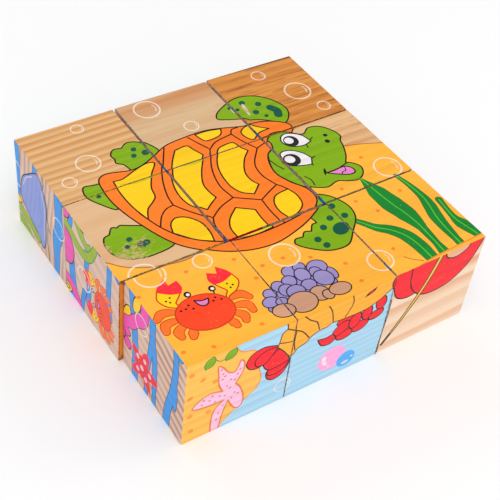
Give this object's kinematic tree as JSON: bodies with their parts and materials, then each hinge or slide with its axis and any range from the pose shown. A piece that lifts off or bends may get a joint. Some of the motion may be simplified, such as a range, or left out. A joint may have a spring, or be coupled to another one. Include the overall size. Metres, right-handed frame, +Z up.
{
  "type": "picture cube puzzle",
  "caption": "Picture-cube puzzle: loose solid wooden cubes with sanded edges, printed on every face with a piece of a sea picture, standing side by side as a flat square block.",
  "frame": {"origin": "centre of the block's base, on the surface that it stands on", "axes": "+Z up; the block's front faces -Y, its left side faces -X, and the picture on top is upright seen from the front"},
  "size_m": [0.1072, 0.1068, 0.035],
  "materials": {
    "printed_front_left": "satin",
    "printed_front_middle": "satin",
    "printed_front_right": "satin",
    "printed_middle_left": "satin",
    "printed_centre": "satin",
    "printed_middle_right": "satin",
    "printed_back_left": "satin",
    "printed_back_middle": "satin",
    "printed_back_right": "satin"
  },
  "bodies": {
    "centre": {"cube_centre": "printed_centre"},
    "front_left": {"cube_front_left": "printed_front_left"},
    "front_middle": {"cube_front_middle": "printed_front_middle"},
    "front_right": {"cube_front_right": "printed_front_right"},
    "middle_left": {"cube_middle_left": "printed_middle_left"},
    "middle_right": {"cube_middle_right": "printed_middle_right"},
    "back_left": {"cube_back_left": "printed_back_left"},
    "back_middle": {"cube_back_middle": "printed_back_middle"},
    "back_right": {"cube_back_right": "printed_back_right"}
  },
  "joints": [
    {"name": "lift_front_left", "type": "slide", "parent": "centre", "child": "front_left", "axis": [0, 0, 1], "range_m": [0, 0.045]},
    {"name": "lift_front_right", "type": "slide", "parent": "centre", "child": "front_right", "axis": [0, 0, 1], "range_m": [0, 0.045]},
    {"name": "lift_back_left", "type": "slide", "parent": "centre", "child": "back_left", "axis": [0, 0, 1], "range_m": [0, 0.045]},
    {"name": "lift_back_right", "type": "slide", "parent": "centre", "child": "back_right", "axis": [0, 0, 1], "range_m": [0, 0.045]},
    {"name": "roll_front_middle", "type": "hinge", "parent": "centre", "child": "front_middle", "pos_m": [0.00022, -0.05324, 0], "axis": [1, -0.0079, 0], "range_deg": [0, 90]},
    {"name": "roll_middle_left", "type": "hinge", "parent": "centre", "child": "middle_left", "pos_m": [-0.05349, 0.0004, 0], "axis": [-0.0052, -1, 0], "range_deg": [0, 90]},
    {"name": "roll_middle_right", "type": "hinge", "parent": "centre", "child": "middle_right", "pos_m": [0.05331, 0.00006, 0], "axis": [0, 1, 0], "range_deg": [0, 90]},
    {"name": "roll_back_middle", "type": "hinge", "parent": "centre", "child": "back_middle", "pos_m": [0.00016, 0.05316, 0], "axis": [-1, 0.0087, 0], "range_deg": [0, 90]}
  ]
}
